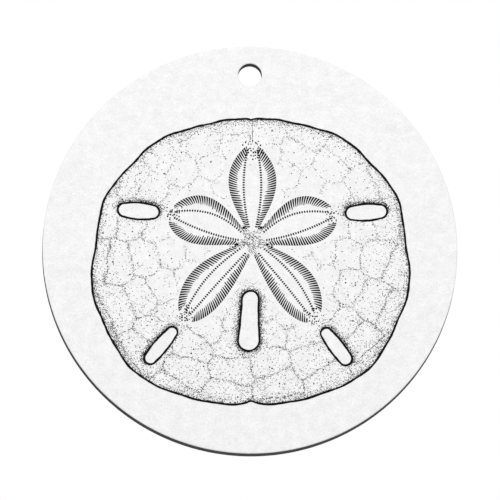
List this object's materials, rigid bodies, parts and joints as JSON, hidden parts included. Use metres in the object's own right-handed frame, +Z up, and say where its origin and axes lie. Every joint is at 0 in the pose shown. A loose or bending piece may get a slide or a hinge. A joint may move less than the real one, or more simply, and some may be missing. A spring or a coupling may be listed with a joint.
{
  "type": "round hanging board disc with a printed sand dollar",
  "caption": "Flat round board disc with a small hang hole near its upper edge and a plain pen-and-ink sand dollar printed on its front; hangs as an ornament or tag.",
  "frame": {"origin": "on the hang hole's axis, half way through the board; the disc hangs below it", "axes": "+X across the disc to the viewer's right, +Y from the printed front to the plain back, +Z up, towards the hang hole"},
  "size_m": [0.1016, 0.004, 0.1016],
  "materials": {
    "printed_board": "matt white fibrous paper face with a black ink print, plain white back, dark grey cut edge"
  },
  "bodies": {
    "root": {"board_disc": "printed_board"}
  },
  "joints": []
}
